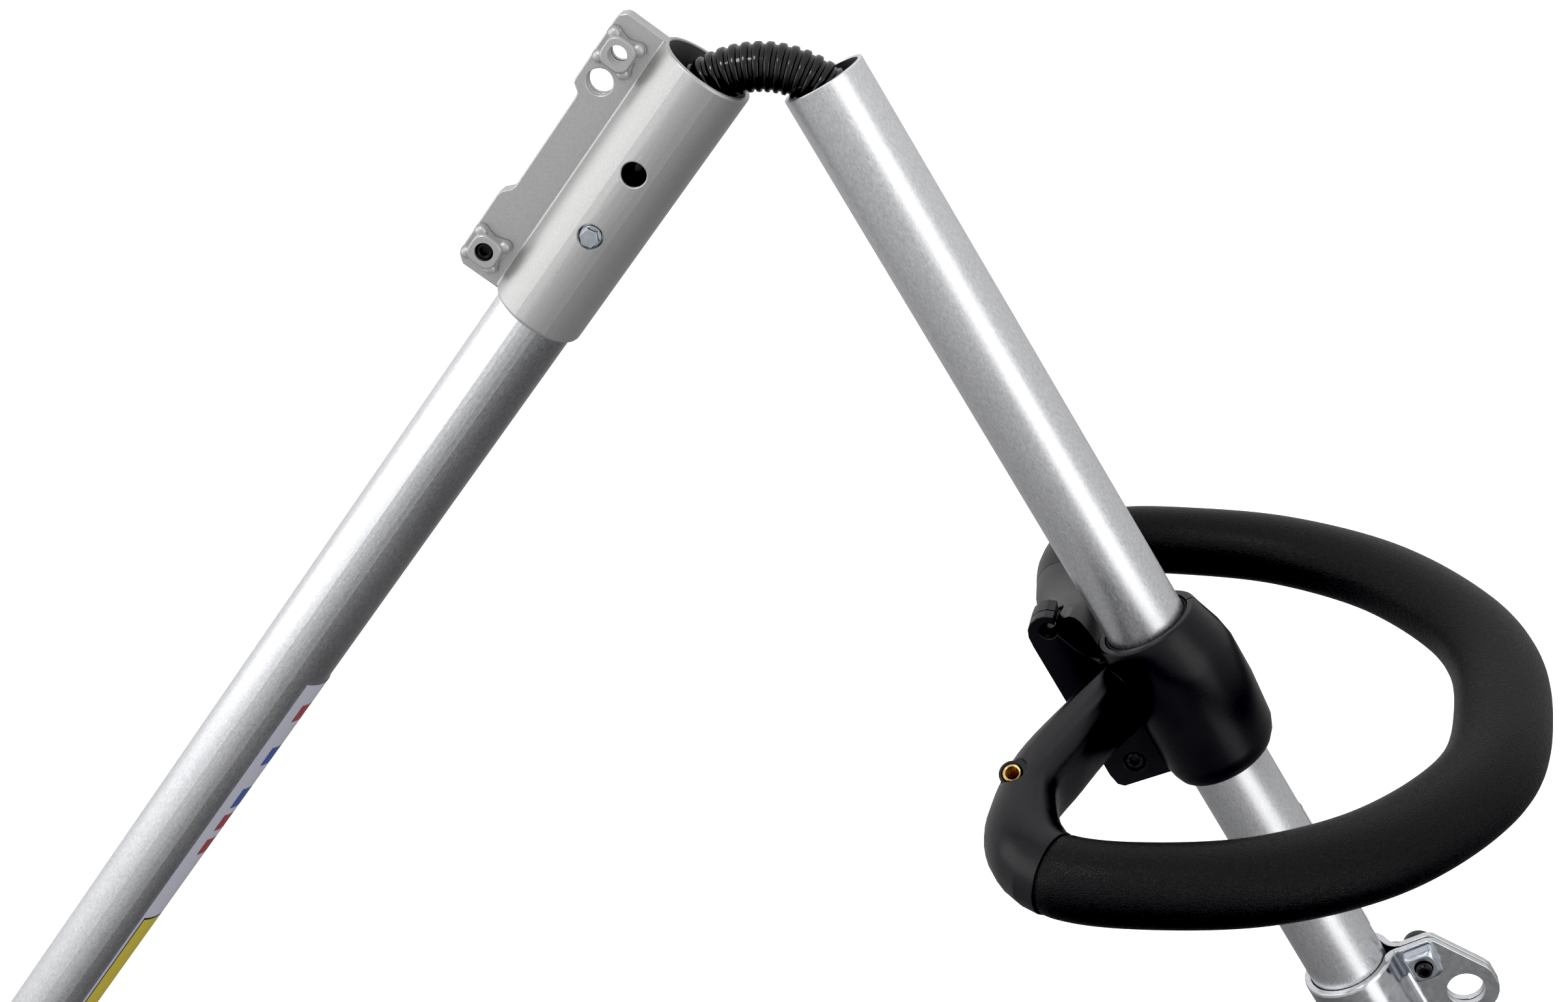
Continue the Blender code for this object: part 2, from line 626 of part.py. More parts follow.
def grip():
    """Sleeve over the core, oval and thicker towards the nose."""
    outer, inner = [], []
    for i in range(GRIP_FROM, GRIP_TO + 1, 2):
        swell = eased((LOOP_LINE[i].x + 20) / 95)
        outer.append(loop_ring(i, GRIP_R + (PALM_W - GRIP_R) * swell,
                               GRIP_R + (PALM_H - GRIP_R) * swell, 2, 24))
        inner.append(loop_ring(i, CORE_R + GAP, CORE_R + GAP, 2, 24))
    return loft(outer + inner[::-1], closed=True)


make("handle_grip", grip(), HANDLE, "grip_rubber")


# Small fittings of the handle

def fitting_frame(forward, side, up, lean_forward, lean_side):
    """Frame whose +Z points out of the loop's top face, leaned forward and sideways."""
    out = (UPWARD + FORWARD * lean_forward + SIDE * lean_side).normalized()
    across = SIDE.cross(out).normalized()
    basis = Matrix((across, out.cross(across), out)).transposed()
    at = in_loop(forward, side, up)
    return handle, (at.x, at.y, at.z + LOOP_AT), basis.to_euler()


INSERT = fitting_frame(*INSERT_AT, *INSERT_LEAN)
cut(handle_body, "insert_boss", lathe_z([(4.5, 0.6), (4.5, -2.2), (3.6, -7.0)], 24), INSERT, join=True)
cut(handle_body, "cut_insert_pocket", lathe_z([(5.6, 8.0), (5.6, 0.0)], 24), INSERT)
cut(handle_body, "cut_insert_bore", lathe_z([(3.4, 8.0), (3.4, -10.5)], 24), INSERT)
screwed("brass_insert", [(2.3, 0.5), (2.7, 0.5), (3.1, 0.2), (3.1, -9.0), (2.3, -9.0)], INSERT, "brass", 24)

hole_x, hole_z = FLANGE_HOLE
cut(handle_body, "cut_flange_hole", lathe_y([(3.1, -4), (3.1, 12)], hole_x, hole_z), HANDLE)
cut(rear_clamp, "cut_rear_hole", lathe_y([(3.1, 0), (3.1, 18)], hole_x, hole_z), HANDLE)
make("rear_insert", loft([[(hole_x + x, y, hole_z + z) for x, z in circle(r, 24)]
     for r, y in ((2.8, 5.4), (2.8, REAR_INSERT_END), (1.9, REAR_INSERT_END), (1.9, 5.4))], closed=True),
     HANDLE, "black_oxide")

screw_x, screw_z = FLANGE_SCREW
cut(handle_body, "cut_flange_counterbore", lathe_y([(3.9, -4), (3.9, 2.6)], screw_x, screw_z), HANDLE)
cut(handle_body, "cut_flange_way", lathe_y([(2.3, 0), (2.3, 9)], screw_x, screw_z), HANDLE)
cut(rear_clamp, "cut_rear_thread", lathe_y([(2.3, 0), (2.3, 22)], screw_x, screw_z), HANDLE)
socket_screw("flange_screw", HANDLE, screw_x, screw_z, tip=20.0, seat=2.3,
             shank=1.95, head_r=3.5, head_h=2.0, way=-1)

side_x, side_z = SIDE_SCREW
cut(handle_body, "cut_side_thread", lathe_y([(2.0, -8.0), (2.0, 9.0)], side_x, side_z), HANDLE)
cut(rear_clamp, "cut_side_way", lathe_y([(2.0, 0.0), (2.0, 30.0)], side_x, side_z), HANDLE)
cut(rear_clamp, "cut_side_counterbore", lathe_y([(3.1, 5.3), (3.1, 30.0)], side_x, side_z), HANDLE)
socket_screw("side_screw", HANDLE, side_x, side_z, tip=-7.0, seat=5.6, shank=1.65, head_r=2.7,
             head_h=2.4)


# Harness clamp: one strap bent round the tube, its two ears bolted together

def strap_line(from_centre, steps=32):
    """One face of the strap's section, from ear tip to ear tip. from_centre is 0 in mid-sheet."""
    middle = SLIT / 2 + STRAP_T / 2
    band = BAND_IN + STRAP_T / 2
    bend_y = middle + EAR_BEND
    bend_x = math.sqrt((band + EAR_BEND) ** 2 - bend_y ** 2)
    leave = math.degrees(math.atan2(bend_y, bend_x))
    curve = arc(EAR_BEND - from_centre, -90, -180 + leave, 5, (bend_x, bend_y))
    ear = [(EAR_TIP, middle + from_centre)] + curve[:-1]
    return ear + arc(band + from_centre, leave, 360 - leave, steps) + [(x, -y) for x, y in ear[::-1]]


def strap_rings():
    rings = []
    for down, inset in ((BAND_TOP, 0.5), (BAND_TOP + 0.5, 0.15), (BAND_TOP + 1.2, 0.0),
                        (BAND_LOW - 1.0, 0.0), (BAND_LOW + 8.0, 0.0)):
        outer = strap_line(STRAP_T / 2 - inset)
        section = strap_line(-STRAP_T / 2) + outer[::-1]
        rings.append([(x, y, -down) for x, y in section])
    return rings


def strap_trim():
    """What is outside the strap's side view: above the ears, and below the band."""
    x, down, _, outer = EYE
    edge = [(EAR_TIP + 6, BAND_TOP - 6), (13.0, BAND_TOP - 6), (13.0, BAND_TOP - 0.2), (16.5, 403.8),
            (19.5, 404.5), (29.0, 404.6), (31.5, 405.6)]
    edge += [(x + outer * math.cos(math.radians(a)), down + outer * math.sin(math.radians(a)))
             for a in (-30, -15, 0, 15, 30, 45, 60, 75, 90)]
    edge += [(26.0, down + outer - 0.4), (17.0, BAND_LOW), (-20.0, BAND_LOW), (-20.0, BAND_LOW + 20),
             (EAR_TIP + 6, BAND_LOW + 20)]
    return [(px, -pz) for px, pz in edge]


strap = make("harness_strap", loft(strap_rings()), HARNESS, "bright_steel")
cut(strap, "cut_strap_outline", along_y(strap_trim(), -30, 30), HARNESS)
cut(strap, "cut_eye", lathe_y([(EYE[2], -12), (EYE[2], 12)], EYE[0], -EYE[1], 32), HARNESS)
hx, hz = HARNESS_SCREW[0], -HARNESS_SCREW[1]
cut(strap, "cut_strap_screw_way", lathe_y([(3.3, -12), (3.3, 12)], hx, hz), HARNESS)

front_face = -SLIT / 2 - STRAP_T - GAP
nut_stations = ((0.0, 5.3, 5.6, 1.2), (-3.6, 5.3, 5.6, 1.2), (-4.6, 4.9, 5.2, 2.2), (-5.0, 4.3, 4.6, 2.6))
nut = make("harness_nut",
           loft([[(hx + x, front_face + y, hz + z) for x, z in rounded_box(half_x, half_z, r, (0, 0))]
                 for y, half_x, half_z, r in nut_stations]), HARNESS, "zinc")
cut(nut, "cut_harness_thread", lathe_y([(3.2, 0), (3.2, -12)], hx, hz), HARNESS)

rear_face = SLIT / 2 + STRAP_T + GAP
dome = [(2.3, -10.6), (2.85, -10.0), (2.85, rear_face), (6.3, rear_face), (6.3, rear_face + 1.2),
        (5.5, rear_face + 1.5), (5.4, rear_face + 4.2), (4.4, rear_face + 5.5), (3.0, rear_face + 5.9)]
harness_screw = make("harness_screw", lathe_y(dome, hx, hz), HARNESS, "black_oxide")
cut(harness_screw, "cut_harness_tip", along_y(hexagon(3.0, 0, (hx, hz)), -13, -9.4), HARNESS)
cut(harness_screw, "cut_harness_key",
    along_y(hexagon(4.0, 0, (hx, hz)), rear_face + 3.0, rear_face + 12), HARNESS)
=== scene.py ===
import json
import math

import bmesh
import bpy
from mathutils import Matrix, Vector


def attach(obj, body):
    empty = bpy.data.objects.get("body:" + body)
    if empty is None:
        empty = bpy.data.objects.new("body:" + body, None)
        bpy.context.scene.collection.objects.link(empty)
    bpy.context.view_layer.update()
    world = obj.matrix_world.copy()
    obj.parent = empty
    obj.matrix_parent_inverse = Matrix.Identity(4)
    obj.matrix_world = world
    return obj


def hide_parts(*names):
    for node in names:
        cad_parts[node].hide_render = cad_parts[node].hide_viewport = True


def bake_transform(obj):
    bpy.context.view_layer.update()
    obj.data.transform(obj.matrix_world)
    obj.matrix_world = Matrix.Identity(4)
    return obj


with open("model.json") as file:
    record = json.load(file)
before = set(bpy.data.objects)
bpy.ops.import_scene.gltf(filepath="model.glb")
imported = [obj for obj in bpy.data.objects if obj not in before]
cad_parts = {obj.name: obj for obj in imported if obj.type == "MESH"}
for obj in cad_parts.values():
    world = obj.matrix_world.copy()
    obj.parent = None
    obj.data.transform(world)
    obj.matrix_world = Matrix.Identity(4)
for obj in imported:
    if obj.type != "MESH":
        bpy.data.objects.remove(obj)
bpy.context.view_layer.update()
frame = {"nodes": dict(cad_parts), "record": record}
NODES = frame["nodes"]

# Frames of the two tubes, the conduit and the handle, as the CAD has them. Metres.
HALF = math.radians(33.2)
TUBE_END = 0.640
CROSSING = Matrix.Translation((TUBE_END * math.sin(HALF), 0, TUBE_END * math.cos(HALF)))
LOWER = CROSSING @ Matrix.Rotation(HALF, 4, "Y")
UPPER = CROSSING @ Matrix.Rotation(-HALF, 4, "Y")
HANDLE = UPPER @ Matrix.Rotation(math.radians(-6.6), 4, "Z")
MM = 0.001


# Camera

def make_camera():
    data = bpy.data.cameras.new("camera")
    data.sensor_width, data.lens = 36.0, 50.83
    data.clip_start, data.clip_end = 0.02, 30.0
    cam = bpy.data.objects.new("camera", data)
    bpy.context.scene.collection.objects.link(cam)
    right = Vector((0.9903, 0.1355, 0.0320))
    down = Vector((0.0861, -0.4158, -0.9054))
    ahead = Vector((-0.1094, 0.8993, -0.4234))
    basis = Matrix((right, -down, -ahead)).transposed().to_4x4()
    basis.translation = (0.44328, -0.67462, 0.67940)
    cam.matrix_world = basis
    bpy.context.scene.camera = cam


make_camera()


# Material nodes

class Graph:
    """A Principled material that is built up node by node."""

    def __init__(self, name, colour, roughness, metallic=0.0, **sockets):
        self.mat = bpy.data.materials.new(name)
        self.mat.use_nodes = True
        self.tree = self.mat.node_tree
        self.bsdf = self.tree.nodes["Principled BSDF"]
        self.set("Base Color", (*colour, 1.0))
        self.set("Roughness", roughness)
        self.set("Metallic", metallic)
        for socket, value in sockets.items():
            self.set(socket.replace("_", " "), value)

    def set(self, socket, value):
        place = self.bsdf.inputs[socket]
        if isinstance(value, bpy.types.NodeSocket):
            self.tree.links.new(value, place)
        else:
            place.default_value = value

    def node(self, kind, links=None, **settings):
        made = self.tree.nodes.new("ShaderNode" + kind)
        for key, value in settings.items():
            setattr(made, key, value)
        for key, value in (links or {}).items():
            if isinstance(value, bpy.types.NodeSocket):
                self.tree.links.new(value, made.inputs[key])
            else:
                made.inputs[key].default_value = value
        return made

    def local(self, place=None):
        """Position in metres, in the frame of a tube or of the handle."""
        out = self.node("TexCoord").outputs["Object"]
        if place is None:
            return out
        return self.node("Mapping", {"Vector": out, "Location": place.to_translation(),
                                     "Rotation": place.to_euler()}, vector_type="TEXTURE").outputs[0]

    def stretched(self, vector, x, y, z):
        return self.node("Mapping", {"Vector": vector, "Scale": (x, y, z)}).outputs[0]

    def noise(self, vector, scale, detail=3.0, rough=0.55):
        return self.node("TexNoise", {"Vector": vector, "Scale": scale, "Detail": detail,
                                      "Roughness": rough}).outputs["Fac"]

    def cells(self, vector, scale, feature="SMOOTH_F1"):
        made = self.node("TexVoronoi", {"Vector": vector, "Scale": scale}, feature=feature)
        return made.outputs["Distance"]

    def spread(self, value, low, high, out_low, out_high):
        return self.node("MapRange", {"Value": value, "From Min": low, "From Max": high,
                                      "To Min": out_low, "To Max": out_high}).outputs[0]

    def maths(self, operation, a, b=0.0):
        return self.node("Math", {0: a, 1: b}, operation=operation).outputs[0]

    def between(self, value, low, high):
        return self.maths("MULTIPLY", self.maths("GREATER_THAN", value, low),
                          self.maths("LESS_THAN", value, high))

    def mixed(self, factor, a, b):
        mix = self.node("Mix", {"Factor": factor}, data_type="RGBA")
        for socket, value in ((mix.inputs[6], a), (mix.inputs[7], b)):
            if isinstance(value, bpy.types.NodeSocket):
                self.tree.links.new(value, socket)
            else:
                socket.default_value = (*value, 1.0)
        return mix.outputs[2]

    def bump(self, *layers):
        """Each layer is a height and how deep it is, in millimetres."""
        normal = None
        for height, depth in layers:
            links = {"Height": height, "Strength": 1.0, "Distance": depth * MM}
            if normal:
                links["Normal"] = normal
            normal = self.node("Bump", links).outputs[0]
        self.set("Normal", normal)


def aluminium(name, place):
    """Drawn and anodised tube: lengthwise brushing under a soft mottle."""
    g = Graph(name, (0.78, 0.785, 0.79), 0.34, 1.0)
    p = g.local(place)
    brush = g.noise(g.stretched(p, 1, 1, 0.03), 2600, 4)
    mottle = g.noise(g.stretched(p, 1, 1, 0.3), 2200, 4, 0.75)
    patches = g.noise(g.stretched(p, 1, 1, 0.3), 60, 3)
    g.set("Base Color", g.mixed(g.spread(mottle, 0.3, 0.7, 0, 1), (0.60, 0.605, 0.625), (0.90, 0.905, 0.915)))
    g.set("Roughness", g.maths("ADD", g.spread(mottle, 0.3, 0.7, 0.28, 0.40),
                               g.spread(patches, 0.3, 0.7, -0.03, 0.04)))
    g.bump((brush, 0.008), (mottle, 0.020))
    return g.mat


def cast_silver():
    """Silver paint with a fine metallic grain over a slightly uneven casting."""
    g = Graph("cast_silver", (0.42, 0.42, 0.415), 0.40, 0.85, Coat_Weight=0.6, Coat_Roughness=0.3)
    p = g.local(LOWER)
    grain = g.noise(p, 4200, 3, 0.7)
    flake = g.cells(p, 3800, "F1")
    uneven = g.noise(p, 140, 3)
    g.set("Base Color", g.mixed(g.spread(grain, 0.35, 0.65, 0, 1), (0.38, 0.38, 0.375), (0.52, 0.52, 0.515)))
    g.set("Roughness", g.spread(flake, 0.1, 0.7, 0.34, 0.50))
    g.bump((uneven, 0.03), (grain, 0.010))
    return g.mat


def bright_steel(name, colour, roughness):
    g = Graph(name, colour, roughness, 1.0)
    p = g.local()
    film = g.noise(p, 320, 4)
    fine = g.noise(p, 3500, 2)
    tint = tuple(c * 0.82 for c in colour)
    g.set("Base Color", g.mixed(g.spread(film, 0.3, 0.7, 0, 1), tint, colour))
    g.set("Roughness", g.spread(film, 0.3, 0.7, roughness - 0.05, roughness + 0.10))
    g.bump((film, 0.01), (fine, 0.003))
    return g.mat


def black_oxide():
    g = Graph("black_oxide", (0.018, 0.018, 0.02), 0.26, 0.35)
    p = g.local()
    wear = g.noise(p, 900, 4, 0.7)
    g.set("Base Color", g.mixed(g.spread(wear, 0.5, 0.8, 0, 1), (0.006, 0.006, 0.007), (0.03, 0.03, 0.032)))
    g.set("Roughness", g.spread(wear, 0.3, 0.7, 0.20, 0.36))
    g.bump((g.noise(p, 4000, 2), 0.003))
    return g.mat


def conduit_black():
    g = Graph("conduit_black", (0.003, 0.003, 0.004), 0.14, Specular_IOR_Level=0.5)
    p = g.local()
    g.set("Roughness", g.spread(g.noise(p, 260, 4), 0.3, 0.7, 0.09, 0.20))
    g.set("Base Color", g.mixed(g.noise(p, 420, 3), (0.001, 0.001, 0.0012), (0.003, 0.003, 0.0035)))
    g.bump((g.noise(p, 1500, 3), 0.006))
    return g.mat


def moulded_black():
    """Satin handle plastic with a fine spark-eroded texture."""
    g = Graph("handle_plastic", (0.004, 0.004, 0.005), 0.34, Specular_IOR_Level=0.32)
    p = g.local(HANDLE)
    texture = g.noise(p, 3200, 3, 0.65)
    flow = g.noise(p, 45, 3)
    g.set("Base Color", g.mixed(flow, (0.003, 0.003, 0.004), (0.006, 0.006, 0.0075)))
    g.set("Roughness", g.maths("ADD", g.spread(texture, 0.3, 0.7, 0.27, 0.37),
                               g.spread(flow, 0.3, 0.7, -0.03, 0.03)))
    g.bump((texture, 0.012))
    return g.mat


def grip_leather():
    """Soft grip with a leather grain: creased cells of about a millimetre, with finer pores. The creases are
    painted darker, as painted shade.
    """
    g = Graph("grip_rubber", (0.003, 0.003, 0.004), 0.40, Specular_IOR_Level=0.22)
    p = g.local(HANDLE)
    sway = g.node("TexNoise", {"Vector": p, "Scale": 380.0, "Detail": 2.0}).outputs["Color"]
    drift = g.node("VectorMath", {0: sway, "Scale": 0.0011}, operation="SCALE").outputs[0]
    bent = g.node("VectorMath", {0: p, 1: drift}, operation="ADD").outputs[0]
    cells = g.cells(bent, 1500)
    creases = g.spread(g.cells(bent, 1500, "DISTANCE_TO_EDGE"), 0.0, 0.20, 0, 1)
    pores = g.noise(p, 3600, 3, 0.7)
    # painted shade: the base colour is darker in the creases between the grain's cells
    g.set("Base Color", g.mixed(creases, (0.001, 0.001, 0.0012), (0.0035, 0.0035, 0.0042)))
    g.set("Roughness", g.spread(creases, 0, 1, 0.50, 0.28))
    g.bump((creases, 0.06), (cells, -0.06), (pores, 0.02))
    return g.mat


def liner_rubber():
    g = Graph("liner_rubber", (0.006, 0.006, 0.006), 0.75, Specular_IOR_Level=0.3)
    g.set("Roughness", g.spread(g.noise(g.local(), 800, 3), 0.3, 0.7, 0.65, 0.85))
    g.bump((g.noise(g.local(), 2200, 3), 0.01))
    return g.mat


def brass():
    g = Graph("brass", (0.86, 0.62, 0.28), 0.20, 1.0)
    tarnish = g.noise(g.local(), 700, 3)
    g.set("Base Color", g.mixed(g.spread(tarnish, 0.35, 0.7, 0, 1), (0.88, 0.65, 0.30), (0.66, 0.44, 0.17)))
    g.set("Roughness", g.spread(tarnish, 0.3, 0.7, 0.14, 0.32))
    g.bump((tarnish, 0.004))
    return g.mat


def film(name, place, base, zones):
    """Printed label. A zone is a colour between two distances down the tube and two angles."""
    g = Graph(name, base, 0.42, Coat_Weight=0.25, Coat_Roughness=0.25)
    p = g.local(place)
    axes = g.node("SeparateXYZ", {0: p}).outputs
    down = g.maths("MULTIPLY", axes[2], -1000.0)
    angle = g.maths("MULTIPLY", g.maths("ARCTAN2", axes[0], g.maths("MULTIPLY", axes[1], -1.0)), 57.29578)
    angle = g.maths("MODULO", g.maths("ADD", angle, 360.0), 360.0)
    colour = g.mixed(g.noise(p, 500, 3), tuple(c * 0.95 for c in base), base)
    for tint, top, low, start, end in zones:
        inside = g.maths("MULTIPLY", g.between(down, top, low), g.between(angle, start, end))
        colour = g.mixed(inside, colour, tint)
    g.set("Base Color", colour)
    g.set("Roughness", g.spread(g.noise(p, 240, 3), 0.3, 0.7, 0.36, 0.50))
    g.bump((g.noise(p, 1200, 3), 0.004))
    return g.mat


INK, RED, BLUE, YELLOW = (0.01, 0.01, 0.012), (0.16, 0.02, 0.025), (0.02, 0.04, 0.16), (0.26, 0.21, 0.01)
MATERIALS = {
    "lower_tube": aluminium("tube_aluminium_lower", LOWER),
    "upper_tube": aluminium("tube_aluminium_upper", UPPER),
    "cast_silver": cast_silver(),
    "zinc": bright_steel("zinc", (0.60, 0.64, 0.70), 0.24),
    "harness_steel": bright_steel("harness_steel", (0.70, 0.71, 0.73), 0.16),
    "black_oxide": black_oxide(),
    "conduit_black": conduit_black(),
    "handle_plastic": moulded_black(),
    "grip_rubber": grip_leather(),
    "liner_rubber": liner_rubber(),
    "brass": brass(),
    "lower_label": film("label_grey", LOWER, (0.23, 0.23, 0.27), (
        (RED, 313, 322, 58, 82), (BLUE, 336, 346, 58, 82), (BLUE, 359, 370, 58, 82),
        (RED, 374, 383, 58, 82), (RED, 388, 397, 58, 82),
        (INK, 434, 536, 44, 229), (YELLOW, 435.2, 534.8, 46, 227.5))),
    "upper_label": film("label_silver", UPPER, (0.70, 0.70, 0.72), (
        (INK, 340, 340.8, 94, 203), (INK, 389.2, 390, 94, 203),
        (INK, 340, 390, 94, 95.6), (INK, 340, 390, 201.4, 203))),
}
SLOT_OF = {s["node"]: s["material_slot"] for s in frame["record"]["subparts"]}
BODY_OF = {n: b for b, names in frame["record"]["behaviour"]["bodies"].items() for n in names}


# Pieces

SLIVER, CHANCE = 0.00012, 0.000002  # weld before a bevel, which a shorter edge would spoil, and without one


def finish_piece(obj, material, body, sharp=32):
    obj.data.materials.clear()
    obj.data.materials.append(material)
    obj.data.shade_smooth()
    obj.data.set_sharp_from_angle(angle=math.radians(sharp))
    if body:
        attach(obj, body)
    return obj


def new_object(name, bm):
    mesh = bpy.data.meshes.new(name)
    bmesh.ops.recalc_face_normals(bm, faces=bm.faces)
    bm.to_mesh(mesh)
    bm.free()
    obj = bpy.data.objects.new(name, mesh)
    bpy.context.scene.collection.objects.link(obj)
    return obj


def dress(node, bevel=0.0, sharp=32):
    """A finished copy of a CAD node: welded, flats made whole, edges rounded, smooth where it is round."""
    bm = bmesh.new()
    bm.from_mesh(NODES[node].data)
    bmesh.ops.remove_doubles(bm, verts=bm.verts, dist=SLIVER if bevel else CHANCE)
    bmesh.ops.dissolve_limit(bm, angle_limit=math.radians(0.4), verts=bm.verts, edges=bm.edges)
    obj = new_object(node + "_finish", bm)
    if bevel:
        step = obj.modifiers.new("rounded_edges", "BEVEL")
        step.width, step.segments = bevel * MM, 2
        step.limit_method, step.angle_limit = "ANGLE", math.radians(38)
        step.use_clamp_overlap = False
        step.harden_normals = False
        even = obj.modifiers.new("even_shading", "WEIGHTED_NORMAL")
        even.keep_sharp, even.weight = True, 80
    slot = SLOT_OF[node]
    finish_piece(obj, MATERIALS.get(node) or MATERIALS[slot], BODY_OF[node], sharp)
    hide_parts(node)
    return obj


for node, bevel in (("lower_tube", 0), ("upper_tube", 0), ("coupler_sleeve", 0.45), ("upper_nut", 0),
                    ("lower_nut", 0), ("clamp_screw", 0.12), ("locating_screw", 0.15),
                    ("lower_label", 0), ("upper_label", 0), ("handle_body", 0.25),
                    ("handle_rear_clamp", 0), ("handle_liner", 0),
                    ("flange_screw", 0.12), ("side_screw", 0.12), ("rear_insert", 0),
                    ("harness_strap", 0.2), ("harness_nut", 0.15), ("harness_screw", 0.12)):
    dress(node, bevel)


# Grip, relofted finely along the same line

NEAR_LOOP = (
    (103.2, 0.0), (97.8, -33.0), (81.8, -61.0), (58.0, -85.0), (26.0, -102.0), (-10.0, -108.8),
    (-32.4, -106.6), (-42.4, -95.2), (-45.2, -81.5), (-44.4, -65.0), (-37.6, -44.0),
    (-29.5, -22.0), (-21.0, -2.0),
)
FAR_LOOP = (
    (103.2, 0.0), (101.8, 33.0), (90.0, 61.8), (63.6, 90.0), (27.4, 106.2), (-10.0, 109.5),
    (-35.0, 106.5), (-47.0, 94.5), (-51.5, 80.0), (-50.5, 64.0),
)
LOOP_ORIGIN = Vector((0, 0, -279.2))
TILT = math.radians(28.2)
FORWARD, SIDE = Vector((math.cos(TILT), 0, -math.sin(TILT))), Vector((0, 1, 0))
UPWARD = Vector((math.sin(TILT), 0, math.cos(TILT)))


def in_loop(forward, side, up=0.0):
    return LOOP_ORIGIN + FORWARD * forward + SIDE * side + UPWARD * up


def smooth_line(points, per_span):
    ends = [2 * points[0] - points[1], *points, 2 * points[-1] - points[-2]]
    out = []
    for i in range(1, len(points)):
        a, b, c, d = ends[i - 1:i + 3]
        for k in range(per_span):
            t = k / per_span
            out.append(0.5 * (2 * b + (c - a) * t + (2 * a - 5 * b + 4 * c - d) * t * t
                              + (3 * b - a - 3 * c + d) * t ** 3))
    out.append(points[-1])
    return out


SPAN = 12  # steps between two points of the loop
QUARTER = SPAN // 4
LINE = smooth_line([Vector(p) for p in NEAR_LOOP[:0:-1] + FAR_LOOP], SPAN)


def nearest(forward, side):
    return min(range(0, len(LINE), QUARTER), key=lambda i: (LINE[i] - Vector((forward, side))).length)


def eased(t):
    t = min(max(t, 0), 1)
    return t * t * (3 - 2 * t)


def loop_section(i, half_w, half_h, steps=48):
    a, b = LINE[max(i - QUARTER, 0)], LINE[min(i + QUARTER, len(LINE) - 1)]
    along = (b - a).normalized()
    normal = Vector((along.y, -along.x))
    ring = []
    for k in range(steps):
        t = 2 * math.pi * k / steps
        p = LINE[i] + normal * half_w * math.cos(t)
        ring.append(in_loop(p.x, p.y, half_h * math.sin(t)))
    return ring


def skinned(rings):
    """Closed sleeve from a ring of rings, in millimetres."""
    bm = bmesh.new()
    rows = [[bm.verts.new(p * MM) for p in ring] for ring in rings]
    for low, high in zip(rows, rows[1:] + rows[:1]):
        for k in range(len(low)):
            j = (k + 1) % len(low)
            bm.faces.new((low[k], low[j], high[j], high[k]))
    return bm


GRIP_R, GRIP_BORE = 13.25, 10.2
PALM_WIDER, PALM_FLATTER = 2.75, 0.45  # change of the half sizes towards the nose
END_ROLL, INSET = 0.55, 0.2  # how far the ends round over, and how far all of it stays inside the CAD


def grip():
    first, last = nearest(-34.0, -108.0), nearest(-34.0, 108.0)
    outer, inner = [], []
    for i in range(first, last + 1):
        swell = eased((LINE[i].x + 20) / 95)
        edge = min(i - first, last - i)
        roll = -END_ROLL * max(0.0, 1 - edge / 2) ** 2 - INSET
        outer.append(loop_section(i, GRIP_R + PALM_WIDER * swell + roll,
                                  GRIP_R - PALM_FLATTER * swell + roll))
        if (i - first) % 4 == 0 or i == last:
            inner.append(loop_section(i, GRIP_BORE, GRIP_BORE))
    bm = skinned(outer + inner[::-1])
    bmesh.ops.transform(bm, matrix=HANDLE, verts=bm.verts)
    obj = new_object("grip_sleeve", bm)
    finish_piece(obj, MATERIALS["grip_rubber"], "handle", 60)
    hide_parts("handle_grip")


grip()


# Brass insert with its thread

INSERT_AT, INSERT_LEAN = (-50.7, -68.7, 9.5), (-0.12, -0.67)  # forward, sideways, up
INSERT_R, INSERT_TOP, INSERT_LOW = 3.08, 0.5, -8.9
THREAD_R, THREAD_DEPTH, THREAD_PITCH, THREADS = 2.3, 0.32, 0.7, 12


def ring_mesh(profile, steps=48):
    bm = bmesh.new()
    rows = []
    for i in range(steps):
        a = 2 * math.pi * i / steps
        rows.append([bm.verts.new((r * MM * math.cos(a), r * MM * math.sin(a), z * MM)) for r, z in profile])
    for i in range(steps):
        low, high = rows[i], rows[(i + 1) % steps]
        for k in range(len(profile)):
            j = (k + 1) % len(profile)
            bm.faces.new((low[k], low[j], high[j], high[k]))
    return bm


def insert_frame():
    out = (UPWARD + FORWARD * INSERT_LEAN[0] + SIDE * INSERT_LEAN[1]).normalized()
    across = SIDE.cross(out).normalized()
    basis = Matrix((across, out.cross(across), out)).transposed().to_4x4()
    basis.translation = in_loop(*INSERT_AT) * MM
    return HANDLE @ basis


def brass_insert():
    thread = []
    for k in range(THREADS):
        z = 0.2 - THREAD_PITCH * k
        thread += [(THREAD_R, z), (THREAD_R + THREAD_DEPTH, z - THREAD_PITCH / 2)]
    outline = [(2.75, INSERT_TOP), (INSERT_R, 0.2), (INSERT_R, INSERT_LOW), (2.5, INSERT_LOW)]
    outline += thread[::-1]
    obj = new_object("brass_insert_finish", ring_mesh(outline))
    obj.matrix_world = insert_frame()
    finish_piece(obj, MATERIALS["brass"], "handle")
    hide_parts("brass_insert")


brass_insert()


# Conduit, in two halves split at the middle of its bend

BEND_R, BEND_AT, PITCH = 33.0, (0.9, -58.5), 3.3
CONDUIT_END, CONDUIT_BORE, PLAIN_R = 150.0, 6.1, 7.45
RIB = ((0.0, 7.05), (0.95, 7.05), (1.12, 7.45), (1.4, 7.8), (1.85, 7.9), (2.6, 7.9), (3.0, 7.75), (3.2, 7.4))


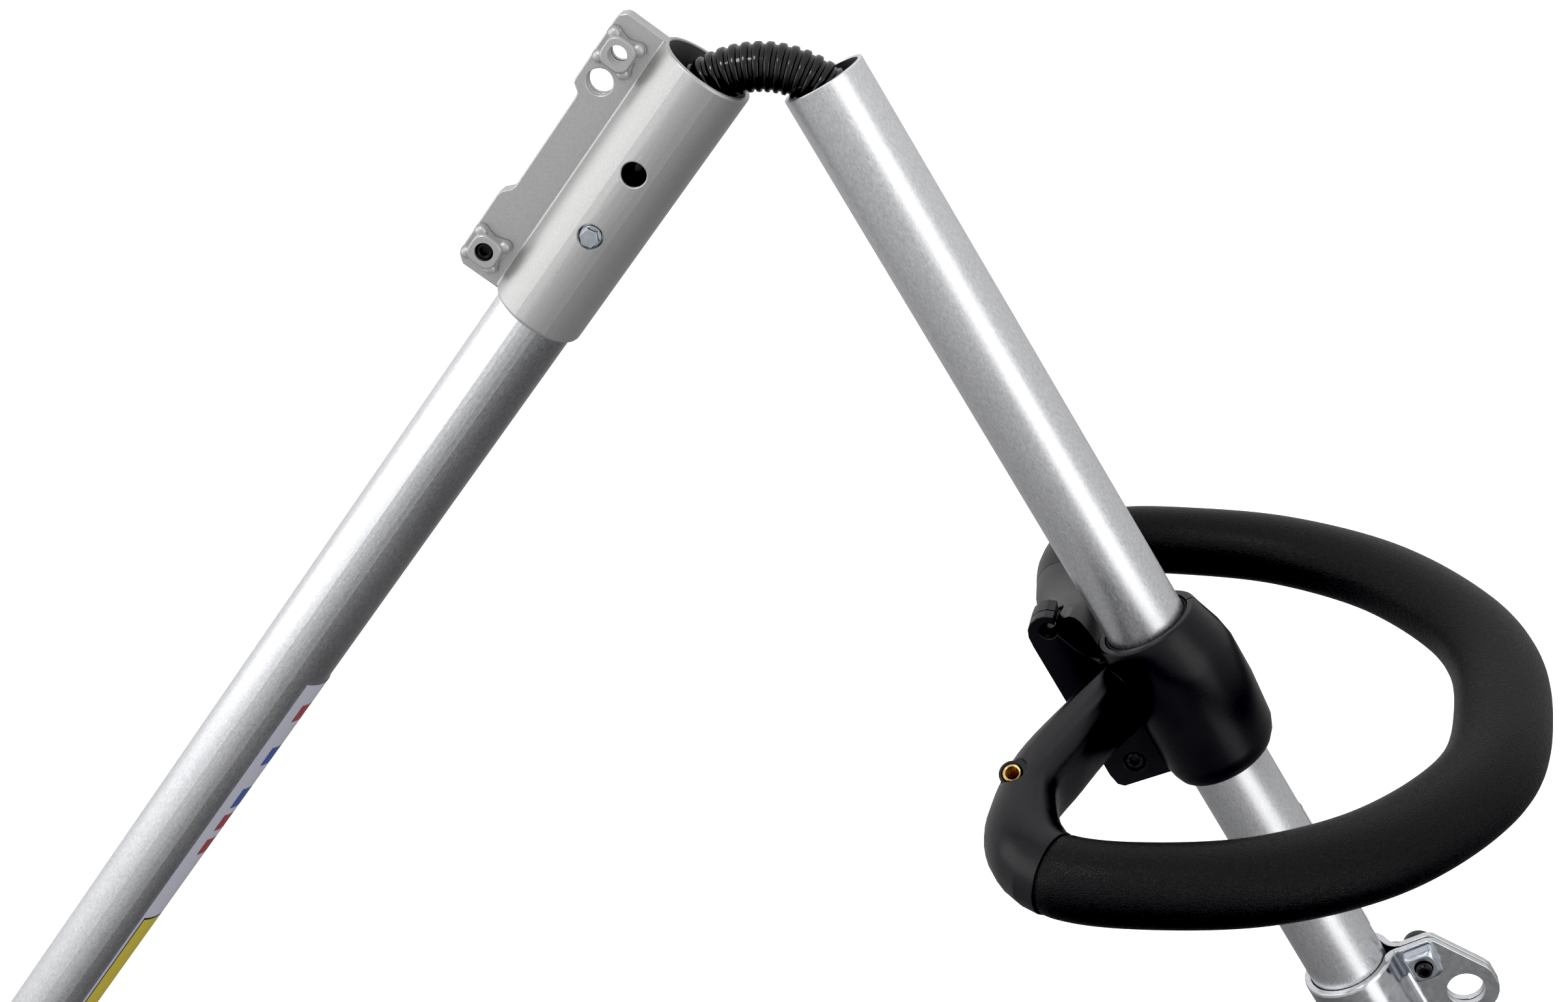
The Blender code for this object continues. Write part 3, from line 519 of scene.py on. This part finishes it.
def conduit_stations():
    bend = math.radians(90) - HALF
    total = 2 * bend * BEND_R
    ribs = int(total / PITCH)
    start = (total - ribs * PITCH) / 2
    marks = [(start + k * PITCH + s, r) for k in range(ribs) for s, r in RIB]
    rows = [(BEND_AT[0] + BEND_R * math.sin(-bend + s / BEND_R),
             BEND_AT[1] + BEND_R * math.cos(-bend + s / BEND_R), -bend + s / BEND_R, r) for s, r in marks]
    ends = []
    for a in (-bend, bend):
        way = math.copysign(1, a)
        x, z = BEND_AT[0] + BEND_R * math.sin(a), BEND_AT[1] + BEND_R * math.cos(a)
        run = CONDUIT_END - math.hypot(x, z)
        row = [(x + way * run * f * math.sin(HALF), z - run * f * math.cos(HALF), a, PLAIN_R)
               for f in (1.0, 0.6, 0.25, 0.0)]
        ends.append(row)
    return ends[0] + rows + ends[1][::-1]


def conduit_half(name, rows):
    bm = bmesh.new()
    steps, loops = 40, []
    skins = [(x, z, a, r) for x, z, a, r in rows] + [(x, z, a, CONDUIT_BORE) for x, z, a, _ in rows[::-1]]
    for x, z, a, r in skins:
        loop = []
        for k in range(steps):
            t = 2 * math.pi * k / steps
            loop.append(bm.verts.new(((x + r * math.cos(t) * math.sin(a)) * MM, r * math.sin(t) * MM,
                                      (z + r * math.cos(t) * math.cos(a)) * MM)))
        loops.append(loop)
    for low, high in zip(loops, loops[1:] + loops[:1]):
        for k in range(steps):
            j = (k + 1) % steps
            bm.faces.new((low[k], low[j], high[j], high[k]))
    bmesh.ops.transform(bm, matrix=CROSSING, verts=bm.verts)
    obj = new_object(name, bm)
    finish_piece(obj, MATERIALS["conduit_black"], None, 50)
    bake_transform(obj)
    return obj


rows = conduit_stations()
middle = min(range(len(rows)), key=lambda i: abs(rows[i][2]))
lower_half = conduit_half("conduit_lower_half", rows[:middle + 1])
conduit_half("conduit_upper_half", rows[middle:])
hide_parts("conduit")


# Stage: pale floor, soft lights

WORLD_LEVELS = ((0.02, 0.09), (0.12, 0.13), (0.22, 0.30), (0.32, 0.47), (0.45, 0.60), (0.75, 1.0))


def make_stage():
    bm = bmesh.new()
    bm.faces.new([bm.verts.new((x, y, 0)) for x, y in ((-6, -6), (6, -6), (6, 9), (-6, 9))])
    floor = new_object("floor", bm)
    floor.location = (0.35, 0, -0.42)
    g = Graph("floor_pale", (0.95, 0.95, 0.95), 0.9)
    g.set("Emission Color", (1, 1, 1, 1))
    g.set("Emission Strength", 0.75)
    floor.data.materials.append(g.mat)
    floor.visible_glossy = False


def area(name, toward, size, radiance, target=(0.38, 0, 0.30), distance=1.7):
    """A soft box that stands in a direction from the object. Radiance 1 looks white."""
    data = bpy.data.lights.new(name, "AREA")
    data.shape, data.size, data.size_y = "RECTANGLE", *size
    data.energy = radiance * math.pi * size[0] * size[1]
    obj = bpy.data.objects.new(name, data)
    bpy.context.scene.collection.objects.link(obj)
    way = Vector(toward).normalized()
    obj.location = Vector(target) + way * distance
    obj.rotation_euler = way.to_track_quat("Z", "Y").to_euler()


def make_world():
    """Studio surroundings that grow brighter towards the upper left."""
    world = bpy.data.worlds.new("studio")
    bpy.context.scene.world = world
    world.use_nodes = True
    tree = world.node_tree
    at = tree.nodes.new("ShaderNodeTexCoord")
    lean = tree.nodes.new("ShaderNodeVectorMath")
    lean.operation = "DOT_PRODUCT"
    lean.inputs[1].default_value = (-0.35, 0.0, 0.94)
    lift = tree.nodes.new("ShaderNodeMapRange")
    lift.inputs["From Min"].default_value = -1.0
    ramp = tree.nodes.new("ShaderNodeValToRGB")
    tree.links.new(at.outputs["Generated"], lean.inputs[0])
    tree.links.new(lean.outputs["Value"], lift.inputs["Value"])
    tree.links.new(lift.outputs[0], ramp.inputs[0])
    tree.links.new(ramp.outputs[0], tree.nodes["Background"].inputs[0])
    ramp.color_ramp.interpolation = "B_SPLINE"
    stops = ramp.color_ramp.elements
    for stop, (place, level) in zip(stops, (WORLD_LEVELS[0], WORLD_LEVELS[-1])):
        stop.position, stop.color = place, (level, level, level * 1.01, 1)
    for place, level in WORLD_LEVELS[1:-1]:
        stops.new(place).color = (level, level, level * 1.01, 1)


BLACK_LEVEL = 0.012  # deep blacks go fully black
view = bpy.context.scene.view_settings
view.view_transform = "Standard"
view.use_curve_mapping = True
view.curve_mapping.black_level = (BLACK_LEVEL,) * 3
make_stage()
make_world()
area("key_left", (-0.94, -0.34, 0.24), (2.4, 1.15), 1.0)
area("strip_right", (0.70, -0.69, 0.12), (1.0, 1.8), 1.25)
area("spark", (-0.35, -0.50, 0.80), (0.35, 0.35), 13.0)
